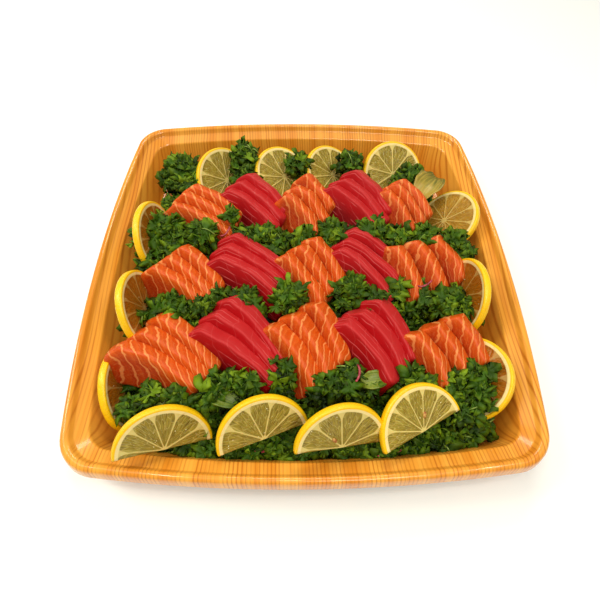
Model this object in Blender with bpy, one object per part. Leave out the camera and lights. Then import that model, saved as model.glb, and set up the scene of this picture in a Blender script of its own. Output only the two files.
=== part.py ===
"""A square party tray with fanned portions of sashimi on a bed of parsley, ringed with citrus slices.

Metres, +Z up. The tray's underside lies on z = 0, its middle over the origin, and its front faces -Y.
"""

import math

import bmesh
import bpy
from mathutils import Vector, noise

MM = 0.001
GAP = 0.4 * MM  # clearance between touching pieces
WELD = 0.0002 * MM  # points closer than this are one point
MAX_SHELL = 1.6  # most that a sharp corner is pushed out, as a share of the gap

# Tray
TRAY_HALF = 160.0 * MM  # middle of a side, at the rim bead's widest plane
SIDE_BOW = 10.5 * MM  # how far each side bows out between its corners
CORNER_RADIUS = 24.6 * MM
CORNER_SHRINK = 0.6  # how fast the corner radius falls as the outline moves inwards
FLOOR_TOP = 2.0 * MM
SIDE_STEPS = 4
CORNER_STEPS = 3

# Closed section of the wall and rim as (inset from the bead's edge, height) in millimetres: from the
# floor up the inner wall, over the ledge and the bead, down the skirt and back underneath to the base
TRAY_SECTION = (
    (22.0, 2.0), (19.9, 2.7), (18.9, 4.6), (13.3, 27.6), (12.4, 29.2),
    (6.2, 32.3), (5.6, 33.1), (5.0, 35.2), (3.8, 36.6), (2.3, 36.9), (0.9, 36.4), (0.0, 35.0),
    (-0.9, 31.2), (-1.9, 27.4),
    (-0.9, 27.3), (0.3, 31.3), (1.4, 34.3), (2.7, 35.4), (3.8, 34.5), (4.6, 31.9),
    (11.6, 27.9), (12.3, 26.2), (17.3, 3.8), (18.7, 0.7), (20.4, 0.0),
)

# Fish: name, the front slice's left end (x, y in millimetres), its heading in degrees and its length,
# then the step from one slice's left end to the next (x, y) and how far each turns, in degrees
PORTIONS = (
    ("salmon_back_1", -117, 33, -16, 58, 6, 12, 3),
    ("tuna_back_1", -77, 51, -28, 58, 8, 11, 4),
    ("salmon_back_2", -28, 46, -36, 45, 8, 13, 1),
    ("tuna_back_2", 8, 59, -37, 60, 11, 11, 4),
    ("salmon_back_3", 53, 56, -48, 46, 9, 7, -1),
    ("salmon_middle_1", -125, -26, -24, 53, 9, 11, 5),
    ("tuna_middle_1", -80, -18, -22, 69, 5, 12, 2),
    ("salmon_middle_2", -31, -12, -40, 50, 12, 10, 4),
    ("tuna_middle_2", 10, -8, -35, 59, 7, 10, -4),
    ("salmon_middle_3", 53, 2, -59, 48, 17, 4, -5),
    ("salmon_front_1", -136, -89, -16, 65, 11, 14, 8),
    ("tuna_front_1", -87, -75, -24, 69, 9, 14, 7),
    ("salmon_front_2", -38, -69, -42, 54, 15, 11, 7),
    ("tuna_front_2", 10, -65, -42, 57, 13, 10, 5),
    ("salmon_front_3", 59, -74, -48, 42, 16, 7, 1),
)
SLICES = 3
SLICE_HEIGHT = 32.0 * MM
SLICE_OVERLAP = 1.0 * MM  # how far neighbouring slices press into each other
SLICE_LEAN = math.radians(34)  # how far a slice leans back from upright
SLICE_BEND = math.radians(25)  # how much a slice turns along its own length
SLICE_STATIONS = 5
SLICE_EDGE = 2.6 * MM
FISH_BASE = 22.0 * MM  # underside of the lowest slice, on the parsley
PORTION_RISE = 0.05 * MM  # the same for each portion
SLICE_RISE = 0.4 * MM  # how much higher each slice lies than the one before it

# Citrus: name, centre of the cut face (x, y, z in millimetres), then the face's tilt above level and
# its heading, in degrees. The half moons add the roll of their straight edge.
CITRUS_RADIUS = 29.2 * MM
CITRUS_THICK = 5.0 * MM
CITRUS_SIDES = 20
WHEELS = (
    ("citrus_left_1", -117.7, 23.8, 32.2, 10, -2),
    ("citrus_left_2", -116.0, -42.0, 34.0, 12, 6),
    ("citrus_left_3", -125.0, -94.6, 13.5, 9, 5),
    ("citrus_right_1", 122.0, 46.5, 27.0, 44, 178),
    ("citrus_right_2", 118.5, -31.5, 31.5, 11, 178),
    ("citrus_right_3", 113.0, -92.5, 26.0, 42, 181),
    ("citrus_back_1", -68.5, 95.0, 25.0, 42, -32),
    ("citrus_back_2", -15.5, 98.0, 26.5, 54, -33),
    ("citrus_back_3", 29.7, 105.0, 22.5, 52, -31),
    ("citrus_back_4", 84.5, 101.0, 27.5, 50, -70),
)
HALF_MOONS = (
    ("citrus_front_1", -86.5, -139.5, 35.5, 36, -59, -24),
    ("citrus_front_2", -26.5, -134.0, 35.0, 42, -72, 2),
    ("citrus_front_4", 71.8, -131.0, 39.5, 58, -60, -3),
    ("citrus_front_3", 20.7, -140.0, 40.5, 38, -74, -12),
)

# Parsley: how low it lies, its reach, and its tufts as (centre x, y, reach x, y, height) in millimetres
PARSLEY_LOW = 9.0
PARSLEY_CELLS = 13
PARSLEY_BOX = ((-121.0, -139.0), (118.0, 118.0))
PARSLEY_TUFTS = (
    (0.0, 0.0, 110.0, 95.0, 10.0),
    (-65.0, 18.0, 62.0, 13.0, 27.0),
    (45.0, 20.0, 72.0, 13.0, 27.0),
    (-95.0, 22.0, 24.0, 20.0, 26.0),
    (-60.0, -48.0, 55.0, 13.0, 27.0),
    (60.0, -42.0, 62.0, 14.0, 27.0),
    (-20.0, -106.0, 95.0, 18.0, 24.0),
    (92.0, -104.0, 26.0, 22.0, 24.0),
    (-98.0, 98.0, 16.0, 18.0, 30.0),
    (-44.0, 104.0, 12.0, 12.0, 36.0),
    (8.0, 104.0, 10.0, 12.0, 32.0),
    (55.0, 104.0, 12.0, 12.0, 34.0),
    (106.0, 98.0, 14.0, 16.0, 28.0),
    (108.0, 8.0, 12.0, 12.0, 26.0),
    (0.0, -132.0, 80.0, 10.0, 10.0),
)

# Loose leaves: name, root (x, y, z in millimetres), heading in degrees, length and width in millimetres
LEAVES = (
    ("lettuce_leaf", 101.0, 66.0, 34.0, 50, 32.0, 24.0),
    ("pale_leaf_1", -98.0, -116.0, 34.0, 35, 20.0, 14.0),
    ("pale_leaf_2", -68.0, -104.0, 36.0, -20, 28.0, 12.0),
    ("pale_leaf_3", 36.0, -100.0, 37.0, 10, 18.0, 12.0),
)
LEAF_STATIONS = 5
LEAF_THICK = 1.2 * MM

COLOURS = {
    "tray": (0.80, 0.44, 0.16, 1.0),
    "salmon": (0.86, 0.22, 0.03, 1.0),
    "tuna": (0.62, 0.03, 0.04, 1.0),
    "citrus": (0.90, 0.66, 0.06, 1.0),
    "parsley": (0.05, 0.14, 0.02, 1.0),
    "leaf": (0.42, 0.50, 0.10, 1.0),
}
ROUGHNESS = {"tray": 0.22, "salmon": 0.32, "tuna": 0.35, "citrus": 0.4, "parsley": 0.6, "leaf": 0.5}


def clear_scene():
    """Removes every object that the scene starts with."""
    for thing in list(bpy.data.objects):
        bpy.data.objects.remove(thing, do_unlink=True)


def finish_material(name):
    """The Principled material of one kind of piece."""
    material = bpy.data.materials.new(name)
    material.use_nodes = True
    shader = material.node_tree.nodes["Principled BSDF"]
    shader.inputs["Base Color"].default_value = COLOURS[name]
    shader.inputs["Roughness"].default_value = ROUGHNESS[name]
    shader.inputs["Metallic"].default_value = 0.0
    material.diffuse_color = COLOURS[name]
    return material


def object_from(shape, name, material=None):
    """Turns a bmesh into a named object with its faces pointing out."""
    bmesh.ops.recalc_face_normals(shape, faces=shape.faces)
    mesh = bpy.data.meshes.new(name)
    shape.to_mesh(mesh)
    shape.free()
    if material:
        mesh.materials.append(material)
    thing = bpy.data.objects.new(name, mesh)
    bpy.context.scene.collection.objects.link(thing)
    return thing


def combined(thing, others, operation, solver="EXACT"):
    """Applies a Boolean of `thing` with each of `others` to its mesh."""
    for other in others:
        modifier = thing.modifiers.new("combine", "BOOLEAN")
        modifier.operation = operation
        modifier.solver = solver
        modifier.object = other
        depsgraph = bpy.context.evaluated_depsgraph_get()
        mesh = bpy.data.meshes.new_from_object(thing.evaluated_get(depsgraph))
        thing.modifiers.clear()
        thing.data = mesh
    return thing


def near(a, b, reach):
    """True where the boxes of two objects come within `reach` of each other."""
    first = [v.co for v in a.data.vertices]
    second = [v.co for v in b.data.vertices]
    for axis in range(3):
        low_a, high_a = min(p[axis] for p in first), max(p[axis] for p in first)
        low_b, high_b = min(p[axis] for p in second), max(p[axis] for p in second)
        if low_a > high_b + reach or low_b > high_a + reach:
            return False
    return True


def clearance(thing):
    """The room that a piece needs: a copy of its mesh grown outwards by the gap, to cut neighbours with."""
    shape = bmesh.new()
    shape.from_mesh(thing.data)
    shape.normal_update()
    pushes = [v.normal * GAP * min(v.calc_shell_factor(), MAX_SHELL) for v in shape.verts]
    for vertex, push in zip(shape.verts, pushes):
        vertex.co += push
    cutter = object_from(shape, thing.name + "_room")
    cutter.hide_render = True
    cutter.display_type = "WIRE"
    return cutter


def keep_largest(thing):
    """Drops the crumbs that a cut leaves, keeping the body with the most vertices."""
    shape = bmesh.new()
    shape.from_mesh(thing.data)
    bmesh.ops.remove_doubles(shape, verts=shape.verts, dist=WELD)
    unseen = set(shape.verts)
    bodies = []
    while unseen:
        body, edge = set(), [unseen.pop()]
        while edge:
            vertex = edge.pop()
            body.add(vertex)
            for link in vertex.link_edges:
                other = link.other_vert(vertex)
                if other in unseen:
                    unseen.discard(other)
                    edge.append(other)
        bodies.append(body)
    bodies.sort(key=len, reverse=True)
    for body in bodies[1:]:
        bmesh.ops.delete(shape, geom=list(body), context="VERTS")
    bmesh.ops.dissolve_degenerate(shape, dist=WELD, edges=shape.edges)
    bmesh.ops.triangulate(shape, faces=shape.faces)
    shape.to_mesh(thing.data)
    shape.free()


def cut_clear(thing, rooms, solver="EXACT"):
    """Cuts a piece back out of the room that its neighbours need."""
    for room in rooms:
        if near(thing, room, 0):
            combined(thing, [room], "DIFFERENCE", solver)
    keep_largest(thing)


def tray_outline(inset):
    """One closed ring of the tray, a square with bowed sides and round corners, moved in by `inset`."""
    half = TRAY_HALF - inset
    corner_half = half - SIDE_BOW
    radius = CORNER_RADIUS - CORNER_SHRINK * inset
    side_radius = (corner_half**2 + SIDE_BOW**2) / (2 * SIDE_BOW)
    # The corner arc's centre (c, c) lies side_radius - radius from the side arc's centre (half - side_radius, 0)
    shift = side_radius - half
    reach = side_radius - radius
    centre = (-shift + math.sqrt(2 * reach**2 - shift**2)) / 2
    swing = math.atan2(centre, centre + shift)
    ring = []
    for quarter in range(4):
        turn = quarter * math.pi / 2
        for step in range(SIDE_STEPS):
            angle = -swing + 2 * swing * step / SIDE_STEPS
            ring.append((side_radius * math.cos(angle) - shift, side_radius * math.sin(angle), turn))
        for step in range(CORNER_STEPS):
            angle = swing + (math.pi / 2 - 2 * swing) * step / CORNER_STEPS
            ring.append((centre + radius * math.cos(angle), centre + radius * math.sin(angle), turn))
    return [
        (x * math.cos(turn) - y * math.sin(turn), x * math.sin(turn) + y * math.cos(turn))
        for x, y, turn in ring
    ]


def build_tray(material):
    """The tray: its section carried round the outline, with a flat floor and base."""
    shape = bmesh.new()
    rings = []
    for inset, height in TRAY_SECTION:
        points = tray_outline(inset * MM)
        rings.append([shape.verts.new((x, y, height * MM)) for x, y in points])
    count = len(rings[0])
    for lower, upper in zip(rings, rings[1:]):
        for i in range(count):
            j = (i + 1) % count
            shape.faces.new((lower[i], lower[j], upper[j], upper[i]))
    shape.faces.new(rings[0])
    shape.faces.new(rings[-1])
    tray = object_from(shape, "tray", material)
    tray.data.shade_smooth()
    tray.data.set_sharp_from_angle(angle=math.radians(40))
    return tray


def slice_top(share):
    """Height of a slice's upper edge along its length, as a share of its full height."""
    shoulder = min(1.0, 0.60 + 2.0 * share)
    return shoulder * (1.0 - 0.32 * share**1.7)


def build_slice(left_end, heading, length, height, thickness):
    """One leaning slab of fish, bent along its length, with soft upper edges.

    `left_end` is the middle of its lower edge at the left.
    """
    half = thickness / 2
    edge = SLICE_EDGE
    shape = bmesh.new()
    base = left_end.copy()
    stride = length / (SLICE_STATIONS - 1)
    rings = []
    for station in range(SLICE_STATIONS):
        share = station / (SLICE_STATIONS - 1)
        turned = heading + SLICE_BEND * (0.35 - share)
        along = Vector((math.cos(turned), math.sin(turned), 0))
        if station:
            base = base + along * stride
        front = Vector((math.sin(turned), -math.cos(turned), 0))
        up = Vector((0, 0, math.cos(SLICE_LEAN))) - front * math.sin(SLICE_LEAN)
        outward = front * math.cos(SLICE_LEAN) + Vector((0, 0, math.sin(SLICE_LEAN)))
        top = height * slice_top(share)
        taper = 1.0 - 0.18 * share
        section = (
            (-half, half * math.tan(SLICE_LEAN)),
            (half, -half * math.tan(SLICE_LEAN)),
            (half, top - edge),
            (half - edge, top),
            (-half + edge, top),
            (-half, top - edge),
        )
        rings.append(
            [shape.verts.new(base + outward * (w * taper) + up * v) for w, v in section]
        )
    count = len(rings[0])
    for left, right in zip(rings, rings[1:]):
        for i in range(count):
            j = (i + 1) % count
            shape.faces.new((left[i], left[j], right[j], right[i]))
    shape.faces.new(rings[0])
    shape.faces.new(rings[-1])
    return object_from(shape, "slice")


def build_portion(name, place, heading, length, step, fan, material):
    """Slices of one fish, fanned from the front left to the back right and joined into one solid.

    Also gives the room that each slice needs.
    """
    middle = math.radians(heading - fan)
    spacing = step.x * -math.sin(middle) + step.y * math.cos(middle)
    thickness = spacing * math.cos(SLICE_LEAN) + SLICE_OVERLAP
    slabs = []
    for index in range(SLICES):
        left_end = place + step * index
        left_end.z += SLICE_RISE * index
        turned = math.radians(heading - fan * index)
        shrink = 1.0 - 0.04 * index
        slabs.append(build_slice(left_end, turned, length * shrink, SLICE_HEIGHT * shrink, thickness))
    rooms = [clearance(slab) for slab in slabs]
    portion = combined(slabs[0], slabs[1:], "UNION")
    for slab in slabs[1:]:
        bpy.data.objects.remove(slab)
    portion.name = name
    portion.data.materials.clear()
    portion.data.materials.append(material)
    return portion, rooms


def face_axes(tilt, heading):
    """The unit vectors of a leaning disc: out of its face, level along it, and up along it."""
    tilt, heading = math.radians(tilt), math.radians(heading)
    out = Vector((math.cos(tilt) * math.cos(heading), math.cos(tilt) * math.sin(heading), math.sin(tilt)))
    level = Vector((-math.sin(heading), math.cos(heading), 0))
    return out, level, out.cross(level)


def build_citrus(name, centre, tilt, heading, material, sweep=2 * math.pi, roll=0.0):
    """A round slice of citrus, or a half moon of it with its straight edge down."""
    out, level, up = face_axes(tilt, heading)
    whole = sweep > math.pi * 1.5
    steps = CITRUS_SIDES if whole else CITRUS_SIDES // 2
    angles = [roll + sweep * i / steps for i in range(steps if whole else steps + 1)]
    shape = bmesh.new()
    face, back = [], []
    for angle in angles:
        point = centre + (level * math.cos(angle) + up * math.sin(angle)) * CITRUS_RADIUS
        face.append(shape.verts.new(point))
        back.append(shape.verts.new(point - out * CITRUS_THICK))
    count = len(face)
    for i in range(count):
        j = (i + 1) % count
        shape.faces.new((face[i], face[j], back[j], back[i]))
    shape.faces.new(face)
    shape.faces.new(back)
    return object_from(shape, name, material)


def bump(x, y, centre_x, centre_y, reach_x, reach_y, height):
    """The height that one tuft adds to the parsley at (x, y)."""
    away = ((x - centre_x) / reach_x) ** 2 + ((y - centre_y) / reach_y) ** 2
    return height * math.exp(-away)


def parsley_height(x, y):
    """Height of the parsley's rough top above the tray's floor at (x, y), all in millimetres."""
    tufts = max(bump(x, y, *tuft) for tuft in PARSLEY_TUFTS)
    rough = 2.6 * noise.noise(Vector((x, y, 3.0)) / 9.0) + 1.5 * noise.noise(Vector((y, x, 8.0)) / 5.0)
    return PARSLEY_LOW + tufts + rough


def build_parsley(material):
    """The parsley as one rough mound with upright sides, its top following the tufts."""
    shape = bmesh.new()
    bmesh.ops.create_grid(shape, x_segments=PARSLEY_CELLS, y_segments=PARSLEY_CELLS, size=1.0)
    (left, front), (right, back) = PARSLEY_BOX
    bottom = FLOOR_TOP + GAP
    for vertex in shape.verts:
        across, along = vertex.co.x, vertex.co.y
        # Round the corners of the square grid
        x = across * math.sqrt(1 - 0.16 * along**4)
        y = along * math.sqrt(1 - 0.16 * across**4)
        vertex.co.x = (left + right) / 2 * MM + x * (right - left) / 2 * MM
        vertex.co.y = (front + back) / 2 * MM + y * (back - front) / 2 * MM
    top = list(shape.faces)
    grown = bmesh.ops.extrude_face_region(shape, geom=top)
    raised = [v for v in grown["geom"] if isinstance(v, bmesh.types.BMVert)]
    for vertex in raised:
        vertex.co.z = bottom + parsley_height(vertex.co.x / MM, vertex.co.y / MM) * MM
    for vertex in shape.verts:
        if vertex not in raised:
            vertex.co.z = bottom
    bmesh.ops.holes_fill(shape, edges=shape.edges, sides=0)
    return object_from(shape, "parsley_bed", material)


def build_leaf(name, x, y, z, heading, length, width, material):
    """A cupped leaf lying on the parsley: a thin curved solid, wide in the middle, with a point."""
    shape = bmesh.new()
    rings = []
    direction = Vector((math.cos(heading), math.sin(heading), 0))
    across = Vector((-direction.y, direction.x, 0))
    start = Vector((x, y, z)) * MM
    for station in range(LEAF_STATIONS):
        share = station / (LEAF_STATIONS - 1)
        half = width * MM * (0.16 + 0.34 * math.sin(math.pi * min(0.98, 0.10 + 0.85 * share)))
        middle = start + direction * length * MM * share
        middle.z += 0.14 * length * MM * math.sin(math.pi * share)
        lift = Vector((0, 0, half * 0.45))
        thick = Vector((0, 0, LEAF_THICK))
        edge_left, edge_right = middle + across * half + lift, middle - across * half + lift
        rings.append(
            [shape.verts.new(p) for p in (edge_left, middle, edge_right)]
            + [shape.verts.new(p + thick) for p in (edge_right, middle, edge_left)]
        )
    count = len(rings[0])
    for first, second in zip(rings, rings[1:]):
        for i in range(count):
            j = (i + 1) % count
            shape.faces.new((first[i], first[j], second[j], second[i]))
    shape.faces.new(rings[0])
    shape.faces.new(rings[-1])
    return object_from(shape, name, material)


def main():
    """Builds the tray, the fish, the citrus, the leaves and the parsley, each cut clear of the last."""
    clear_scene()
    materials = {name: finish_material(name) for name in COLOURS}
    rooms = [clearance(build_tray(materials["tray"]))]
    for name, x, y, z, tilt, heading in WHEELS:
        wheel = build_citrus(name, Vector((x, y, z)) * MM, tilt, heading, materials["citrus"])
        cut_clear(wheel, rooms)
        rooms.append(clearance(wheel))
    for name, x, y, z, tilt, heading, roll in HALF_MOONS:
        centre = Vector((x, y, z)) * MM
        turn = math.radians(roll)
        moon = build_citrus(name, centre, tilt, heading, materials["citrus"], math.pi, turn)
        cut_clear(moon, rooms)
        rooms.append(clearance(moon))
    for number, (name, x, y, heading, length, step_x, step_y, fan) in enumerate(PORTIONS):
        place = Vector((x * MM, y * MM, FISH_BASE + PORTION_RISE * number))
        step = Vector((step_x, step_y, 0)) * MM
        material = materials[name.split("_")[0]]
        portion, slab_rooms = build_portion(name, place, heading, length * MM, step, fan, material)
        cut_clear(portion, rooms)
        rooms.extend(slab_rooms)
    for name, x, y, z, heading, length, width in LEAVES:
        leaf = build_leaf(name, x, y, z, math.radians(heading), length, width, materials["leaf"])
        cut_clear(leaf, rooms)
        rooms.append(clearance(leaf))
    cut_clear(build_parsley(materials["parsley"]), rooms, "MANIFOLD")
    for room in rooms:
        bpy.data.objects.remove(room)


if __name__ == "__main__":
    main()
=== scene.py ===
"""Dresses the sashimi plate: a printed tray, fans of fish, citrus slices and a heap of curly parsley.

Metres, +Z up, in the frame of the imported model: the tray stands on z = 0 and its front faces -Y.
Sizes in tables are in millimetres, as each table says.
"""

import logging
import math
from dataclasses import dataclass
from enum import Enum
from typing import Callable, Sequence

import bmesh
import bpy
import numpy as np
from mathutils import Matrix, Vector, noise
from mathutils.bvhtree import BVHTree


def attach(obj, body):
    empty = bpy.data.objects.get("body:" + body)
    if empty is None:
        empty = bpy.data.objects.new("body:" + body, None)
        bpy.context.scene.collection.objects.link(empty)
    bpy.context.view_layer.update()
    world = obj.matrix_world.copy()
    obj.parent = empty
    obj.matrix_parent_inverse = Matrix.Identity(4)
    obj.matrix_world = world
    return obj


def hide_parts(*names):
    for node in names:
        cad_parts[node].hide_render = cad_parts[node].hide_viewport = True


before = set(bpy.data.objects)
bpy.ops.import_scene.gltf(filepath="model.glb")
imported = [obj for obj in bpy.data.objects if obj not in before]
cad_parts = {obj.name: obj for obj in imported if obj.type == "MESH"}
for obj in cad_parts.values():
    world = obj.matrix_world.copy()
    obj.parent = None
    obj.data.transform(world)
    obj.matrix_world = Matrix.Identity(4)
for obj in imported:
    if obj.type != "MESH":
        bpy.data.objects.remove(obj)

MM = 0.001
BODY = "root"
NOISE_SEED = 7
UP = Vector((0, 0, 1))
LOWEST = 2.6 * MM  # the tray's floor, and a little room over it
LOG = logging.getLogger("sashimi_plate")
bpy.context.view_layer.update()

Colour = tuple[float, float, float]


def linear(red: int, green: int, blue: int) -> Colour:
    """Turns a colour as a maker names it, 0 to 255, into the shader's linear values."""
    return tuple((c / 12.92 if c <= 0.04045 else ((c + 0.055) / 1.055) ** 2.4)
                 for c in (red / 255, green / 255, blue / 255))


# ---------------------------------------------------------------------------------------------------
# Shader maths
# ---------------------------------------------------------------------------------------------------


class Value:
    """A number that varies over a surface; Python's operators on it add Math nodes."""

    def __init__(self, sheet: "Sheet", socket: bpy.types.NodeSocket) -> None:
        """Wraps one output socket of a sheet."""
        self.sheet = sheet
        self.socket = socket

    def math(self, operation: str, *others: "Value | float") -> "Value":
        """Adds one Math node with this value first.

        Args:
            operation: The Math node's operation.
            others: The further operands.

        Returns:
            The node's result.
        """
        inputs = dict(enumerate((self, *others)))
        made = self.sheet.node("ShaderNodeMath", {"operation": operation}, inputs)
        return Value(self.sheet, made.outputs[0])

    def flipped(self, operation: str, other: float) -> "Value":
        """Adds one Math node with this value second."""
        node = self.sheet.node("ShaderNodeMath", {"operation": operation}, {0: other, 1: self})
        return Value(self.sheet, node.outputs[0])

    def __add__(self, other: "Value | float") -> "Value":
        """Sum."""
        return self.math("ADD", other)

    __radd__ = __add__

    def __sub__(self, other: "Value | float") -> "Value":
        """Difference."""
        return self.math("SUBTRACT", other)

    def __rsub__(self, other: float) -> "Value":
        """Difference from a plain number."""
        return self.flipped("SUBTRACT", other)

    def __mul__(self, other: "Value | float") -> "Value":
        """Product."""
        return self.math("MULTIPLY", other)

    __rmul__ = __mul__

    def __truediv__(self, other: "Value | float") -> "Value":
        """Quotient."""
        return self.math("DIVIDE", other)

    def __pow__(self, other: float) -> "Value":
        """Power."""
        return self.math("POWER", other)

    def __abs__(self) -> "Value":
        """Size without sign."""
        return self.math("ABSOLUTE")

    def fraction(self) -> "Value":
        """What is left above the whole number below."""
        return self.math("FRACT")

    def smallest(self, other: "Value | float") -> "Value":
        """The smaller of two values."""
        return self.math("MINIMUM", other)

    def largest(self, other: "Value | float") -> "Value":
        """The larger of two values."""
        return self.math("MAXIMUM", other)

    def rise(self, low: float, high: float) -> "Value":
        """A smooth step: 0 at `low`, 1 at `high`, whichever is larger.

        Args:
            low: Where the result is 0.
            high: Where the result is 1.

        Returns:
            The step, between 0 and 1.
        """
        node = self.sheet.node("ShaderNodeMapRange", {"interpolation_type": "SMOOTHSTEP"},
                               {"Value": self, "From Min": low, "From Max": high})
        return Value(self.sheet, node.outputs[0])


class Sheet:
    """The node sheet of one material."""

    def __init__(self, name: str) -> None:
        """Starts a material with a Principled shader.

        Args:
            name: The material's name.
        """
        self.material = bpy.data.materials.new(name)
        self.material.use_nodes = True
        self.tree = self.material.node_tree
        self.shader = self.tree.nodes["Principled BSDF"]

    def node(self, kind: str, settings: dict | None = None, inputs: dict | None = None) -> bpy.types.Node:
        """Adds any node.

        Args:
            kind: The node's type name.
            settings: Properties, set before anything is linked.
            inputs: Values, sockets or plain numbers for its sockets, by name or index.

        Returns:
            The node.
        """
        made = self.tree.nodes.new(kind)
        for key, setting in (settings or {}).items():
            setattr(made, key, setting)
        self.feed(made, inputs or {})
        return made

    def feed(self, made: bpy.types.Node, inputs: dict) -> None:
        """Links or sets the sockets of a node.

        Args:
            made: The node.
            inputs: Values, sockets or plain numbers, by name or index.
        """
        for key, given in inputs.items():
            socket = made.inputs[key]
            if isinstance(given, Value):
                self.tree.links.new(given.socket, socket)
            elif isinstance(given, bpy.types.NodeSocket):
                self.tree.links.new(given, socket)
            elif isinstance(given, tuple) and socket.type == "RGBA":
                socket.default_value = (*given, 1.0)
            else:
                socket.default_value = given

    def place(self) -> tuple[Value, Value, Value]:
        """Where a point of the surface is in the object's own coordinates."""
        return self.split(self.node("ShaderNodeTexCoord").outputs["Object"])

    def chart(self, name: str) -> tuple[Value, Value]:
        """The two coordinates of a UV map.

        Args:
            name: The UV map's name.

        Returns:
            Its first and second coordinate.
        """
        across, along, _ = self.split(self.node("ShaderNodeUVMap", {"uv_map": name}).outputs[0])
        return across, along

    def split(self, vector: bpy.types.NodeSocket) -> tuple[Value, Value, Value]:
        """Takes a vector apart."""
        parts = self.node("ShaderNodeSeparateXYZ", None, {0: vector}).outputs
        return Value(self, parts[0]), Value(self, parts[1]), Value(self, parts[2])

    def join(self, x: Value | float, y: Value | float, z: Value | float = 0.0) -> bpy.types.NodeSocket:
        """Puts a vector together."""
        return self.node("ShaderNodeCombineXYZ", None, {0: x, 1: y, 2: z}).outputs[0]

    def noise(self, vector: bpy.types.NodeSocket, scale: float, detail: float = 2.0) -> Value:
        """Smooth noise, about 0 to 1.

        Args:
            vector: Where to read it.
            scale: Lumps per unit.
            detail: How many finer layers lie on it.

        Returns:
            The noise.
        """
        made = self.node("ShaderNodeTexNoise", None, {"Vector": vector, "Scale": scale, "Detail": detail})
        return Value(self, made.outputs["Fac"])

    def cells(self, vector: bpy.types.NodeSocket, scale: float, feature: str = "DISTANCE_TO_EDGE") -> Value:
        """Distance within a field of cells.

        Args:
            vector: Where to read it.
            scale: Cells per unit.
            feature: Which distance.

        Returns:
            The distance.
        """
        made = self.node("ShaderNodeTexVoronoi", {"feature": feature}, {"Vector": vector, "Scale": scale})
        return Value(self, made.outputs["Distance"])

    def attribute(self, name: str) -> tuple[Value, Value, Value]:
        """The three numbers of a colour attribute of the piece."""
        return self.split(self.node("ShaderNodeAttribute", {"attribute_name": name}).outputs["Color"])

    def mix(self, factor: Value | float, first: object, second: object) -> bpy.types.NodeSocket:
        """Mixes two colours.

        Args:
            factor: How much of the second.
            first: A colour or a colour socket.
            second: A colour or a colour socket.

        Returns:
            The mixed colour.
        """
        settings = {"data_type": "RGBA", "clamp_factor": True}
        return self.node("ShaderNodeMix", settings, {0: factor, 6: first, 7: second}).outputs[2]

    def bump(self, height: Value, distance: float, strength: float = 1.0) -> bpy.types.NodeSocket:
        """Relief too fine for the mesh.

        Args:
            height: The relief, 0 to 1.
            distance: Its depth in metres.
            strength: How much of it shows.

        Returns:
            The normal to feed the shader.
        """
        inputs = {"Height": height, "Distance": distance, "Strength": strength}
        return self.node("ShaderNodeBump", None, inputs).outputs["Normal"]

    def shade(self, **inputs: object) -> bpy.types.Material:
        """Feeds the shader; an underscore in a name stands for a space."""
        self.feed(self.shader, {key.replace("_", " "): given for key, given in inputs.items()})
        return self.material


# ---------------------------------------------------------------------------------------------------
# Finishes
# ---------------------------------------------------------------------------------------------------


@dataclass(frozen=True)
class WoodPrint:
    """Glossy plastic with a print of fine straight wood grain that runs front to back, painted deeper low in
    the bowl as shade.
    """

    pale: Colour = linear(240, 170, 64)
    warm: Colour = linear(222, 140, 38)
    line: Colour = linear(176, 88, 12)
    # deep: painted shade and reflected warm light, low in the bowl
    deep: Colour = linear(190, 106, 14)
    pitch: float = 2.5 * MM

    def material(self) -> bpy.types.Material:
        """Makes the finish.

        Returns:
            The finish.
        """
        sheet = Sheet("wood_print")
        x, y, z = sheet.place()
        drift = sheet.noise(sheet.join(x * 9, y * 5, z * 5), 1.0, 1.0) - 0.5
        across = x + drift * 0.022
        stretch = sheet.noise(sheet.join(across * 26, 0.0), 1.0, 1.0)
        phase = (across + stretch * 5.0 * MM) / self.pitch
        late = abs(phase.fraction() - 0.5) * 2.0
        weight = sheet.noise(sheet.join(across * 210, y * 9, z * 9), 1.0, 2.0)
        pore = sheet.noise(sheet.join(across * 1500, y * 40, z * 40), 1.0, 1.0)
        band = sheet.noise(sheet.join(across * 110, y * 2, z * 2), 1.0, 2.0)
        body = sheet.mix(band.rise(0.34, 0.68), self.pale, self.warm)
        lined = sheet.mix(late.rise(0.42, 1.0) * weight.rise(0.22, 0.66) * 0.72, body, self.line)
        pored = sheet.mix(pore.rise(0.58, 0.80) * 0.30, lined, self.line)
        # Painted shade: lower in the bowl the print turns deeper and darker, standing in for shade and the
        # warm light the walls throw back.
        bowl_shaded = sheet.mix(z.rise(31.0 * MM, 2.0 * MM) * 0.55, pored, self.deep)
        rough = 0.26 + weight * 0.08
        normal = sheet.bump(sheet.noise(sheet.join(x, y, z), 60.0, 1.0), 0.0002, 0.25)
        return sheet.shade(Base_Color=bowl_shaded, Roughness=rough, Normal=normal, Specular_IOR_Level=0.25,
                           Coat_Weight=0.45, Coat_Roughness=0.08)


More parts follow.
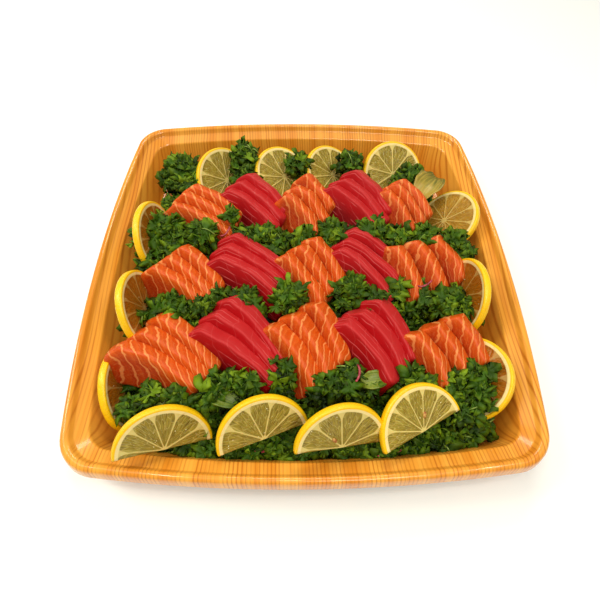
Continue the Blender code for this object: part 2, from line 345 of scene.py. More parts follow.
@dataclass(frozen=True)
class SalmonFlesh:
    """Moist orange flesh with fine cream fat lines across it; its front face is painted darker, as shade.

    The flesh chart's first number counts fat lines and its second is the distance below the upper
    front edge, in metres.
    """

    # light is the lit top's colour; deep is the painted shade of the front face, also laid in random
    # patches.
    light: Colour = linear(208, 80, 5)
    deep: Colour = linear(156, 38, 0)
    fat: Colour = linear(238, 156, 88)

    def material(self) -> bpy.types.Material:
        """Makes the finish.

        Returns:
            The finish.
        """
        sheet = Sheet("salmon_flesh")
        phase, down = sheet.chart("flesh")
        x, y, z = sheet.place()
        where = sheet.join(x, y, z)
        wander = sheet.noise(where, 130.0, 2.0) - 0.5
        line_at = phase + wander * 0.85
        away = abs(line_at.fraction() - 0.5)
        width = sheet.noise(where, 95.0, 1.0) * 0.16
        line = (away - width).rise(0.050, -0.045)
        hair = abs((phase * 2.0 + wander * 2.2 + 0.3).fraction() - 0.5).rise(0.085, 0.0)
        hair = hair * sheet.noise(where, 60.0, 1.0).rise(0.48, 0.68) * 0.35
        swell = line_at.fraction().rise(0.5, 1.1) * 0.35
        fibre = sheet.noise(sheet.join(phase * 5.0, down * 1250.0, x * 60.0), 1.0, 1.0)
        patch = sheet.noise(where, 60.0, 2.0)
        # Painted shade: down the front face the flesh darkens towards deep, and the lighter swell and the
        # fat lines fade there with it.
        face = down.rise(0.5 * MM, 10.0 * MM)
        body = sheet.mix((face * 0.70 + patch * 0.45).smallest(1.0), self.light, self.deep)
        soft = sheet.mix(swell * (1.0 - face * 0.6), body, linear(232, 112, 34))
        ribbed = sheet.mix(fibre.rise(0.45, 0.78) * 0.15, soft, self.fat)
        colour = sheet.mix(line.largest(hair) * (0.76 - face * 0.34), ribbed, self.fat)
        normal = sheet.bump(fibre * 0.7 + line * 0.4, 0.30 * MM, 0.6)
        return sheet.shade(Base_Color=colour, Roughness=0.34 + fibre * 0.16, Normal=normal,
                           Subsurface_Weight=0.10, Subsurface_Scale=2.0 * MM, Specular_IOR_Level=0.28)


@dataclass(frozen=True)
class TunaFlesh:
    """Moist crimson flesh with faint sinew lines along the slice; its top edges are painted pinker as light,
    its lower face darker as shade.
    """

    # deep is the painted shade low on the face; edge is the painted light on the top edges, and also the
    # grain's colour.
    face: Colour = linear(178, 10, 18)
    deep: Colour = linear(112, 1, 6)
    edge: Colour = linear(186, 40, 42)
    sinew: Colour = linear(230, 112, 112)

    def material(self) -> bpy.types.Material:
        """Makes the finish.

        Returns:
            The finish.
        """
        sheet = Sheet("tuna_flesh")
        phase, down = sheet.chart("flesh")
        x, y, z = sheet.place()
        where = sheet.join(x, y, z)
        patch = sheet.noise(where, 70.0, 2.0)
        wander = sheet.noise(where, 45.0, 2.0) - 0.5
        grain = sheet.noise(sheet.join(phase * 0.8, down * 900.0), 1.0, 2.0)
        rows = (down + wander * 4.0 * MM) / (5.2 * MM)
        sinew = abs(rows.fraction() - 0.5).rise(0.095, 0.0)
        broken = sheet.noise(where, 80.0, 1.0).rise(0.40, 0.60)
        scratch = abs((phase * 0.55 + wander * 1.5).fraction() - 0.5).rise(0.020, 0.0)
        # Painted shade: the face darkens towards deep lower down, with random patches on top of it.
        lower = down.rise(3.0 * MM, 18.0 * MM)
        body = sheet.mix((lower * 0.85 + patch * 0.30).smallest(1.0), self.face, self.deep)
        # Painted light: the top edges turn pinker, unevenly.
        cut = down.rise(3.0 * MM, -1.0 * MM)
        top_lit = sheet.mix(cut * (0.40 + patch * 0.75), body, self.edge)
        grained = sheet.mix(grain.rise(0.5, 0.8) * 0.16, top_lit, self.edge)
        lines = (sinew * broken * 0.62).largest(scratch * 0.30)
        colour = sheet.mix(lines, grained, self.sinew)
        normal = sheet.bump(grain * 0.7 + sinew * 0.3, 0.20 * MM, 0.5)
        return sheet.shade(Base_Color=colour, Roughness=0.36 + grain * 0.14, Normal=normal,
                           Subsurface_Weight=0.08, Subsurface_Scale=2.0 * MM, Specular_IOR_Level=0.28)


class Tint(Enum):
    """The citrus flesh's clear and dense colours, and how pale its walls are; the amber tint is painted
    shade and reflected tray colour.
    """

    OLIVE = (linear(190, 168, 62), linear(104, 86, 18), 0.85)
    # Painted shade and reflection: flesh of slices that lean in shade, darker and ambered by the tray's
    # light, with faint walls.
    AMBER = (linear(178, 108, 16), linear(140, 78, 6), 0.30)
    HONEY = (linear(196, 150, 48), linear(140, 96, 20), 0.55)


@dataclass(frozen=True)
class CitrusFace:
    """A cut citrus face: zest ring, cream pith and juicy segments between pale membranes."""

    tint: Tint
    zest: Colour = linear(242, 194, 8)
    pith: Colour = linear(240, 220, 150)
    skin: Colour = linear(226, 206, 124)
    arc: float = 18.0 * MM  # breadth of a segment at the rind

    def material(self) -> bpy.types.Material:
        """Makes the finish.

        Returns:
            The finish.
        """
        sheet = Sheet("citrus_face_" + self.tint.name.lower())
        sector, out = sheet.chart("segments")
        clear, dense, wall = self.tint.value
        share = sector.fraction()
        away = share.smallest(1.0 - share) * out * self.arc
        corner = ((out - 0.66).largest(0.0) ** 2.0) * 44.0 * MM
        core = ((0.13 - out).largest(0.0) ** 2.0) * 70.0 * MM
        membrane = (away - corner - core).rise(0.62 * MM, 0.12 * MM)
        sac = sheet.cells(sheet.join(sector * 7.0, out * 4.2), 1.0)
        streak = sheet.noise(sheet.join(sector * 19.0, out * 3.6), 1.0, 3.0)
        cloud = sheet.noise(sheet.join(sector * 1.3, out * 6.0), 1.0, 2.0)
        flesh = sheet.mix((streak * 1.5 + cloud * 0.6 - 0.65).smallest(1.0), dense, clear)
        walled = sheet.mix(sac.rise(0.07, 0.0) * 0.42 * wall, flesh, self.skin)
        split = sheet.mix(membrane * wall, walled, self.skin)
        ring = (out + sheet.noise(sheet.join(sector * 2.0, out), 1.0, 2.0) * 0.02).rise(0.888, 0.912)
        pithy = sheet.mix(ring, split, self.pith)
        colour = sheet.mix(out.rise(0.948, 0.966), pithy, self.zest)
        wet = (1.0 - ring) * (1.0 - membrane)
        relief = sac.rise(0.0, 0.22) * wet * 0.8 + membrane * 0.5 + streak * 0.3
        normal = sheet.bump(relief, 0.40 * MM, 0.7)
        return sheet.shade(Base_Color=colour, Roughness=0.50 - wet * 0.22, Normal=normal,
                           Specular_IOR_Level=0.30, Subsurface_Weight=0.12, Subsurface_Scale=2.0 * MM)


@dataclass(frozen=True)
class CitrusRind:
    """Bright yellow zest with fine oil pores."""

    zest: Colour = linear(250, 208, 6)
    deep: Colour = linear(236, 178, 2)

    def material(self) -> bpy.types.Material:
        """Makes the finish.

        Returns:
            The finish.
        """
        sheet = Sheet("citrus_rind")
        where = sheet.join(*sheet.place())
        pores = sheet.cells(where, 850.0, "F1")
        patch = sheet.noise(where, 120.0, 2.0)
        colour = sheet.mix(patch * 0.7 + pores.rise(0.45, 0.1) * 0.3, self.zest, self.deep)
        normal = sheet.bump(pores.rise(0.0, 0.5), 0.25 * MM, 0.6)
        return sheet.shade(Base_Color=colour, Roughness=0.36, Normal=normal, Subsurface_Weight=0.08,
                           Subsurface_Scale=1.0 * MM)


@dataclass(frozen=True)
class LeafGreen:
    """A thin leaf, darker at its middle, with a painted highlight on its tips and painted shade when it lies
    low; each a little different.
    """

    name: str = "parsley_leaf"
    # deep is the painted shade of low leaves; tip is the painted highlight of the tips and the colour of
    # fresh leaves.
    deep: Colour = linear(12, 30, 1)
    mid: Colour = linear(56, 91, 5)
    tip: Colour = linear(138, 168, 24)

    def material(self) -> bpy.types.Material:
        """Makes the finish.

        Returns:
            The finish.
        """
        sheet = Sheet(self.name)
        shade, reach, fresh = sheet.attribute("tint")
        where = sheet.join(*sheet.place())
        mottle = sheet.noise(where, 500.0, 2.0)
        # Painted shade: leaves that lie lower in the heap are darker, with random spread and mottle.
        body = sheet.mix((shade * 0.95 + mottle * 0.25 - 0.05).smallest(1.0), self.deep, self.mid)
        # Painted highlight: the tips are lighter, more on high leaves; fresh leaves are lighter all over.
        edge = reach.rise(0.45, 1.15) * (0.10 + shade * 0.45) + fresh * 0.40
        colour = sheet.mix(edge, body, self.tip)
        normal = sheet.bump(sheet.cells(where, 900.0), 0.2 * MM, 0.5)
        return sheet.shade(Base_Color=colour, Roughness=0.45 + mottle * 0.2, Normal=normal,
                           Specular_IOR_Level=0.2)


@dataclass(frozen=True)
class PlainSurface:
    """A simple natural surface of two colours in soft patches."""

    name: str
    first: Colour
    second: Colour
    lumps: float = 200.0
    roughness: float = 0.5

    def material(self) -> bpy.types.Material:
        """Makes the finish.

        Returns:
            The finish.
        """
        sheet = Sheet(self.name)
        where = sheet.join(*sheet.place())
        patch = sheet.noise(where, self.lumps, 3.0)
        normal = sheet.bump(patch, 0.3 * MM, 0.5)
        colour = sheet.mix(patch.rise(0.35, 0.65), self.first, self.second)
        return sheet.shade(Base_Color=colour, Roughness=self.roughness, Normal=normal)


@dataclass(frozen=True)
class PaleLeafGreen:
    """A leaf's blade: pale at its foot, green at its tip, with long veins."""

    name: str
    foot: Colour = linear(128, 142, 40)
    blade: Colour = linear(60, 92, 10)

    def material(self) -> bpy.types.Material:
        """Makes the finish.

        Returns:
            The finish.
        """
        sheet = Sheet(self.name)
        across, along = sheet.chart("blade")
        vein = sheet.noise(sheet.join(across * 8.0, along * 1.2), 1.0, 2.0)
        patch = sheet.noise(sheet.join(across * 3.0, along * 4.0), 1.0, 2.0)
        body = sheet.mix((along * 0.8 + patch * 0.5).rise(0.2, 1.0), self.foot, self.blade)
        colour = sheet.mix(vein.rise(0.46, 0.62) * 0.75, body, self.foot)
        normal = sheet.bump(vein, 0.4 * MM, 0.7)
        return sheet.shade(Base_Color=colour, Roughness=0.4, Normal=normal, Subsurface_Weight=0.1,
                           Subsurface_Scale=1.0 * MM)


# ---------------------------------------------------------------------------------------------------
# Making pieces
# ---------------------------------------------------------------------------------------------------


def stood(name: str, data: bpy.types.ID) -> bpy.types.Object:
    """Puts data into the scene as an object at the origin.

    Args:
        name: The object's name.
        data: Its mesh, lamp or camera.

    Returns:
        The new object.
    """
    thing = bpy.data.objects.new(name, data)
    bpy.context.scene.collection.objects.link(thing)
    return thing


def dressed(mesh: bpy.types.Mesh, materials: Sequence[bpy.types.Material],
            stands_for: Sequence[str] = ()) -> bpy.types.Object:
    """Turns a mesh into a finished, smooth piece that rides on the plate.

    Args:
        mesh: The mesh, which has the piece's name.
        materials: The piece's finishes, in the order of its faces' indices.
        stands_for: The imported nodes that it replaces.

    Returns:
        The new object.
    """
    mesh.shade_smooth()
    for material in materials:
        mesh.materials.append(material)
    thing = stood(mesh.name, mesh)
    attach(thing, BODY)
    if stands_for:
        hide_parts(*stands_for)
    LOG.info("%s: %d faces", thing.name, len(mesh.polygons))
    return thing


def piece(shape: bmesh.types.BMesh, name: str, slot: str, materials: Sequence[bpy.types.Material],
          stands_for: Sequence[str] = ()) -> bpy.types.Object:
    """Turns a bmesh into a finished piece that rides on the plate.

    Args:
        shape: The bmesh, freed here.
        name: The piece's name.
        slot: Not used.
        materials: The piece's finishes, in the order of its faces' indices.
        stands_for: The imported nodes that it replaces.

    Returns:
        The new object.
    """
    mesh = bpy.data.meshes.new(name)
    shape.to_mesh(mesh)
    shape.free()
    return dressed(mesh, materials, stands_for)


def loft(shape: bmesh.types.BMesh, rings: Sequence[Sequence[Vector]]) -> list[list[bmesh.types.BMVert]]:
    """Extrudes one ring of points into the next, along a whole row of rings, and fills both ends.

    Args:
        shape: The bmesh to build in.
        rings: Rings of equally many points.

    Returns:
        The rings' vertices.
    """
    start = bmesh.ops.create_circle(shape, cap_ends=False, segments=len(rings[0]), radius=1.0)["verts"]
    for vertex, point in zip(start, rings[0]):
        vertex.co = point
    made = [list(start)]
    first_edges = list(dict.fromkeys(edge for vertex in start for edge in vertex.link_edges))
    edges = first_edges
    for ring in rings[1:]:
        grown = bmesh.ops.extrude_edge_only(shape, edges=edges)["geom"]
        fresh = {item for item in grown if isinstance(item, bmesh.types.BMVert)}
        edges = [item for item in grown if isinstance(item, bmesh.types.BMEdge)
                 and item.verts[0] in fresh and item.verts[1] in fresh]
        row = []
        for vertex, point in zip(made[-1], ring):
            grown_to = next(edge.other_vert(vertex) for edge in vertex.link_edges
                            if edge.other_vert(vertex) in fresh)
            grown_to.co = point
            row.append(grown_to)
        made.append(row)
    for end in (first_edges, edges):
        bmesh.ops.edgeloop_fill(shape, edges=end)
    bmesh.ops.recalc_face_normals(shape, faces=shape.faces)
    return made


def round_rod(shape: bmesh.types.BMesh, middles: Sequence[tuple[Vector, float, float]], across: Vector,
              sides: int) -> None:
    """Adds a thin rod along a row of middles.

    Args:
        shape: The bmesh to build in.
        middles: Each ring's middle, with its radius sideways and upwards.
        across: The level direction across the rod.
        sides: How many sides it has.
    """
    rings = []
    for middle, wide, tall in middles:
        ring = []
        for side in range(sides):
            angle = 2 * math.pi * side / sides
            ring.append(middle + across * wide * math.cos(angle) + UP * tall * math.sin(angle))
        rings.append(ring)
    loft(shape, rings)


def cut_off(shape: bmesh.types.BMesh, place: Vector, away: Vector) -> list[bmesh.types.BMFace]:
    """Cuts off all that lies beyond a plane and closes the cut.

    Args:
        shape: The bmesh to cut.
        place: A point of the plane.
        away: The plane's direction, towards what goes.

    Returns:
        The faces that close the cut.
    """
    everything = list(shape.verts) + list(shape.edges) + list(shape.faces)
    cut = bmesh.ops.bisect_plane(shape, geom=everything, dist=0.001 * MM, plane_co=place, plane_no=away,
                                 clear_outer=True)
    edges = [item for item in cut["geom_cut"] if isinstance(item, bmesh.types.BMEdge) and item.is_boundary]
    return bmesh.ops.edgeloop_fill(shape, edges=edges)["faces"]


# ---------------------------------------------------------------------------------------------------
# Tray
# ---------------------------------------------------------------------------------------------------


@dataclass(frozen=True)
class Tray:
    """The square tray with bowed sides, round corners, a sloping ledge and a rolled bead."""

    half: float = 160.0 * MM
    bow: float = 10.5 * MM
    corner: float = 24.6 * MM
    shrink: float = 0.6  # how fast the corners tighten further in
    side_steps: int = 20
    corner_steps: int = 10
    sharp: float = math.radians(50)
    # The tray's section, in millimetres: how far in from the bead's edge, and how high
    section: tuple[tuple[float, float], ...] = (
        (22.0, 2.0), (20.9, 2.1), (19.9, 2.7), (18.9, 4.6), (13.3, 27.6), (12.9, 28.6), (12.2, 29.3),
        (6.4, 32.2), (5.8, 32.8), (5.1, 35.2), (4.6, 36.1), (3.7, 36.8), (2.3, 37.0), (0.9, 36.4),
        (0.0, 35.0), (-0.9, 31.2), (-1.8, 27.5), (-1.5, 27.2), (-1.1, 27.4), (0.3, 31.3), (1.4, 34.3),
        (2.7, 35.4), (3.8, 34.5), (4.6, 31.9), (11.6, 27.9), (12.3, 26.2), (17.3, 3.8), (18.7, 0.7),
        (20.4, 0.0),
    )

    def outline(self, inset: float, height: float) -> list[Vector]:
        """One closed ring of the tray.

        Args:
            inset: How far in from the bead's edge it lies.
            height: Its height.

        Returns:
            Its points.
        """
        half = self.half - inset
        corner_half = half - self.bow
        radius = self.corner - self.shrink * inset
        side_radius = (corner_half**2 + self.bow**2) / (2 * self.bow)
        shift = side_radius - half
        reach = side_radius - radius
        centre = (-shift + math.sqrt(2 * reach**2 - shift**2)) / 2
        swing = math.atan2(centre, centre + shift)
        ring = []
        for quarter in range(4):
            turn = Matrix.Rotation(quarter * math.pi / 2, 3, "Z")
            for step in range(self.side_steps):
                angle = -swing + 2 * swing * step / self.side_steps
                along = Vector((math.cos(angle), math.sin(angle), 0))
                ring.append(turn @ (along * side_radius + Vector((-shift, 0, height))))
            for step in range(self.corner_steps):
                angle = swing + (math.pi / 2 - 2 * swing) * step / self.corner_steps
                along = Vector((math.cos(angle), math.sin(angle), 0))
                ring.append(turn @ (along * radius + Vector((centre, centre, height))))
        return ring

    def build(self) -> bpy.types.Object:
        """Makes the tray.

        Returns:
            The finished piece.
        """
        shape = bmesh.new()
        loft(shape, [self.outline(inset * MM, height * MM) for inset, height in self.section])
        tray = piece(shape, "tray_shell", "tray", [WoodPrint().material()], ["tray"])
        tray.data.set_sharp_from_angle(angle=self.sharp)
        return tray


# ---------------------------------------------------------------------------------------------------
# Fish
# ---------------------------------------------------------------------------------------------------


class Fish(Enum):
    """The two kinds of fish on the plate."""

    SALMON = "salmon"
    TUNA = "tuna"


@dataclass(frozen=True)
class Portion:
    """A fan of leaning slices of one fish, in millimetres and degrees.

    `x, y` is the front slice's left end, `step` leads from one slice's left end to the next, and each
    slice turns by `fan` from the one in front of it.
    """

    node: str
    x: float
    y: float
    heading: float
    length: float
    step: tuple[float, float]
    fan: float

    @property
    def fish(self) -> Fish:
        """Which fish it is."""
        return Fish(self.node.split("_")[0])


PORTIONS = (
    Portion("salmon_back_1", -117, 33, -16, 58, (6, 12), 3),
    Portion("tuna_back_1", -77, 51, -28, 58, (8, 11), 4),
    Portion("salmon_back_2", -28, 46, -36, 45, (8, 13), 1),
    Portion("tuna_back_2", 8, 59, -37, 60, (11, 11), 4),
    Portion("salmon_back_3", 53, 56, -48, 46, (9, 7), -1),
    Portion("salmon_middle_1", -125, -26, -24, 53, (9, 11), 5),
    Portion("tuna_middle_1", -80, -18, -22, 69, (5, 12), 2),
    Portion("salmon_middle_2", -31, -12, -40, 50, (12, 10), 4),
    Portion("tuna_middle_2", 10, -8, -35, 59, (7, 10), -4),
    Portion("salmon_middle_3", 53, 2, -59, 48, (17, 4), -5),
    Portion("salmon_front_1", -136, -89, -16, 65, (11, 14), 8),
    Portion("tuna_front_1", -87, -75, -24, 69, (9, 14), 7),
    Portion("salmon_front_2", -38, -69, -42, 54, (15, 11), 7),
    Portion("tuna_front_2", 10, -65, -42, 57, (13, 10), 5),
    Portion("salmon_front_3", 59, -74, -48, 42, (16, 7), 1),
)


@dataclass(frozen=True)
class SliceMaker:
    """The shape that all slices share."""

    slices: int = 3
    height: float = 32.0 * MM
    lean: float = math.radians(34)
    bend: float = math.radians(25)
    bend_start: float = 0.35  # where a slice runs along its heading, as a share of its length
    base: float = 22.0 * MM
    rise: float = 0.4 * MM  # how much higher each slice stands than the one in front
    shrink: float = 0.04  # how much smaller each slice is than the one in front
    taper: float = 0.18  # how much thinner the right end is
    round_end: float = 0.09  # how much of the length each rounded end takes
    round_depth: float = 0.72
    sway: float = 0.07  # how much the top edge wanders
    stations: int = 34
    corner_steps: int = 4
    side_steps: int = 7
    waves: float = 0.8 * MM
    ripples: float = 0.35  # the finer waves' height, as a share of the larger ones'
    line_pitch: float = 8.4 * MM
    # For salmon and tuna: how far the slices press into each other, and their long edges' radius
    press: tuple[float, float] = (0.0, 0.7 * MM)
    corner: tuple[float, float] = (2.8 * MM, 1.5 * MM)

    def top(self, share: float) -> float:
        """How high a slice stands at a share of its length, as a share of its full height."""
        shoulder = min(1.0, 0.60 + 2.0 * share)
        return shoulder * (1.0 - 0.32 * share**1.7)

    def path(self, start: Vector, heading: float, length: float) -> list[tuple[float, Vector, float]]:
        """The lower middle line of a slice.

        Args:
            start: Its left end.
            heading: Its direction there, in radians.
            length: Its length.

        Returns:
            Share of the length, point and direction for each station.
        """
        spots = []
        point = start.copy()
        stride = length / (self.stations - 1)
        for station in range(self.stations):
            share = station / (self.stations - 1)
            turned = heading + self.bend * (self.bend_start - share)
            if station:
                point = point + Vector((math.cos(turned), math.sin(turned), 0)) * stride
            spots.append((share, point.copy(), turned))
        return spots

    def section(self, half: float, top: float, corner: float) -> list[tuple[float, float, float]]:
        """The outline across a slice: a slab with rounded corners.

        Args:
            half: Half of its thickness.
            top: Its height.
            corner: The radius of its corners.

        Returns:
            Distance out of the middle, height up the slice and distance below the upper front edge
            for each point, from the lower front corner round over the top.
        """
        corner = min(corner, half * 0.8, top * 0.3)
        middles = ((half - corner, corner, -90), (half - corner, top - corner, 0),
                   (corner - half, top - corner, 90), (corner - half, corner, 180))
        points = []
        for number, (out, up, first) in enumerate(middles):
            for step in range(self.corner_steps + 1):
                angle = math.radians(first + 90 * step / self.corner_steps)
                points.append((out + corner * math.cos(angle), up + corner * math.sin(angle)))
            if number % 2 == 0:
                a, b = points[-1], (points[-1][0], top - corner if number == 0 else corner)
                for step in range(1, self.side_steps):
                    share = step / self.side_steps
                    points.append((a[0], a[1] + (b[1] - a[1]) * share))
        edge = self.corner_steps + self.side_steps + self.corner_steps // 2
        lengths = [0.0]
        for (a, b), (c, d) in zip(points, points[1:]):
            lengths.append(lengths[-1] + math.hypot(c - a, d - b))
        return [(out, up, lengths[edge] - run) for (out, up), run in zip(points, lengths)]

    def build(self, portion: Portion, material: bpy.types.Material,
              rng: np.random.RandomState) -> bpy.types.Object:
        """Makes the slices of one portion.

        Args:
            portion: Where they lie.
            material: Their finish.
            rng: Where the small differences between them come from.

        Returns:
            The finished piece.
        """
        shape = bmesh.new()
        chart = shape.loops.layers.uv.new("flesh")
        step = Vector((*portion.step, 0)) * MM
        middle = math.radians(portion.heading - portion.fan)
        spacing = step.x * -math.sin(middle) + step.y * math.cos(middle)
        kind = 0 if portion.fish is Fish.SALMON else 1
        thickness = spacing * math.cos(self.lean) + self.press[kind]
        for index in range(self.slices):
            start = Vector((portion.x * MM, portion.y * MM, self.base)) + step * index
            start.z += self.rise * index
            size = 1.0 - self.shrink * index
            heading = math.radians(portion.heading - portion.fan * index)
            self.add_slice(shape, chart, start, heading, portion.length * MM * size,
                           self.height * size, thickness, self.corner[kind], rng)
        return piece(shape, portion.node + "_slices", portion.fish.value, [material], [portion.node])

    def add_slice(self, shape: bmesh.types.BMesh, chart: object, start: Vector, heading: float,
                  length: float, height: float, thickness: float, corner: float,
                  rng: np.random.RandomState) -> None:
        """Adds one slice with its flesh chart.

        Args:
            shape: The bmesh to build in.
            chart: The UV layer for the fat line's number and the distance below the upper edge.
            start: Its lower left end.
            heading: Its direction there, in radians.
            length: Its length.
            height: Its height.
            thickness: Its thickness.
            corner: The radius of its long edges.
            rng: Where its small differences come from.
        """
        seed = Vector(rng.uniform(-50, 50, 3))
        # How the fat lines slant at the left end, curve downwards and fan out towards the right end
        skew, curve, splay = rng.uniform(0.35, 0.8), rng.uniform(8, 22), rng.uniform(1.0, 1.8)
        rings, notes = [], []
        for share, point, turned in self.path(start, heading, length):
            front = Vector((math.sin(turned), -math.cos(turned), 0))
            up = UP * math.cos(self.lean) - front * math.sin(self.lean)
            outward = front * math.cos(self.lean) + UP * math.sin(self.lean)
            to_end = min(1.0, (1.0 - abs(2 * share - 1)) / self.round_end)
            rounding = math.sqrt(1 - (1 - to_end) ** 2 * self.round_depth)
            half = thickness / 2 * (1.0 - self.taper * share) * rounding
            sway = 1.0 + self.sway * noise.noise(Vector((share * 3.0, 0, 0)) + seed)
            top = height * self.top(share) * (0.90 + 0.10 * rounding) * sway
            slant = skew + splay * share**2
            ring, row = [], []
            for out, rise, drop in self.section(half, top, corner):
                spot = point + outward * out + up * rise
                wobble = noise.noise_vector(spot * 60 + seed) * self.waves
                ripple = noise.noise_vector(spot * 190 + seed) * self.waves * self.ripples
                ring.append(spot + wobble + ripple)
                run = share * length - slant * drop + curve * drop * abs(drop)
                row.append((run / self.line_pitch + seed.x, drop))
            rings.append(ring)
            notes.append(row)
        before = set(shape.faces)
        made = loft(shape, rings)
        known = {vertex: note for ring, row in zip(made, notes) for vertex, note in zip(ring, row)}
        for face in shape.faces:
            if face in before:
                continue
            drops = [known[loop.vert][1] for loop in face.loops]
            for loop in face.loops:
                loop[chart].uv = known[loop.vert]
            if len(face.loops) == 4 and max(drops) - min(drops) > self.height:
                # The seam under the slice keeps both sides on the same stretch of the chart
                for loop in face.loops:
                    loop[chart].uv = (known[loop.vert][0], max(drops))


# ---------------------------------------------------------------------------------------------------
# Citrus
# ---------------------------------------------------------------------------------------------------


@dataclass(frozen=True)
class Citrus:
    """One slice of citrus, in millimetres and degrees: where its cut face is and how it leans.

    A half moon has its straight edge turned by `roll`.
    """

    node: str
    x: float
    y: float
    z: float
    tilt: float
    heading: float
    tint: Tint
    roll: float | None = None


CITRUS = (
    Citrus("citrus_left_1", -117.7, 23.8, 32.2, 10, -2, Tint.AMBER),
    Citrus("citrus_left_2", -116.0, -42.0, 34.0, 12, 6, Tint.AMBER),
    Citrus("citrus_left_3", -125.0, -94.6, 13.5, 9, 5, Tint.AMBER),
    Citrus("citrus_right_1", 122.0, 46.5, 27.0, 44, 178, Tint.HONEY),
    Citrus("citrus_right_2", 118.5, -31.5, 31.5, 11, 178, Tint.AMBER),
    Citrus("citrus_right_3", 113.0, -92.5, 26.0, 42, 181, Tint.AMBER),
    Citrus("citrus_back_1", -68.5, 95.0, 25.0, 42, -32, Tint.OLIVE),
    Citrus("citrus_back_2", -15.5, 98.0, 26.5, 54, -33, Tint.OLIVE),
    Citrus("citrus_back_3", 29.7, 105.0, 22.5, 52, -31, Tint.OLIVE),
    Citrus("citrus_back_4", 84.5, 101.0, 27.5, 50, -70, Tint.OLIVE),
    Citrus("citrus_front_1", -86.5, -139.5, 35.5, 36, -59, Tint.OLIVE, -24),
    Citrus("citrus_front_2", -26.5, -134.0, 35.0, 42, -72, Tint.OLIVE, 2),
    Citrus("citrus_front_3", 20.7, -140.0, 40.5, 38, -74, Tint.OLIVE, -12),
    Citrus("citrus_front_4", 71.8, -131.0, 39.5, 58, -60, Tint.OLIVE, -3),
)


